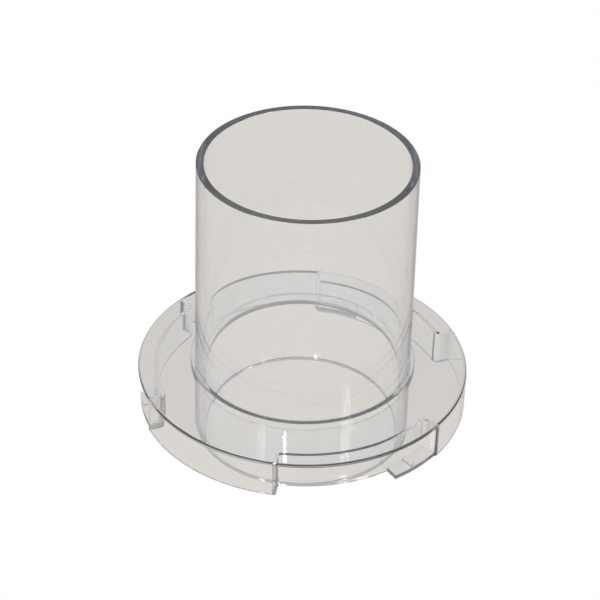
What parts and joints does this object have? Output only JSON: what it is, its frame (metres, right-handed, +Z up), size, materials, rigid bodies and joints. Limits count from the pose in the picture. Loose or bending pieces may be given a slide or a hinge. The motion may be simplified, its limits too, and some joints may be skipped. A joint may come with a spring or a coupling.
{
  "type": "food processor feed tube lid",
  "caption": "Clear round lid insert for a food processor bowl, with a wide straight feed tube, a recessed skirt and bayonet lugs.",
  "frame": {"origin": "on the tube's axis, in the plane of its lower end, which the insert stands on", "axes": "+Z up along the feed tube towards its mouth; -Y towards the viewer; the first recess of the skirt points 53 degrees anticlockwise from +X"},
  "size_m": [0.1252, 0.1252, 0.1164],
  "materials": {
    "tube_plastic": "clear polished styrene plastic, faint cool grey",
    "ring_plastic": "clear moulded styrene plastic, faint cool grey"
  },
  "bodies": {
    "root": {"feed_tube": "tube_plastic", "ring_plate": "ring_plastic", "skirt_wall_1": "ring_plastic", "recess_wall_1": "ring_plastic", "bayonet_lug_1": "ring_plastic", "skirt_wall_2": "ring_plastic", "recess_wall_2": "ring_plastic", "bayonet_lug_2": "ring_plastic", "skirt_wall_3": "ring_plastic", "recess_wall_3": "ring_plastic", "bayonet_lug_3": "ring_plastic"}
  },
  "joints": []
}
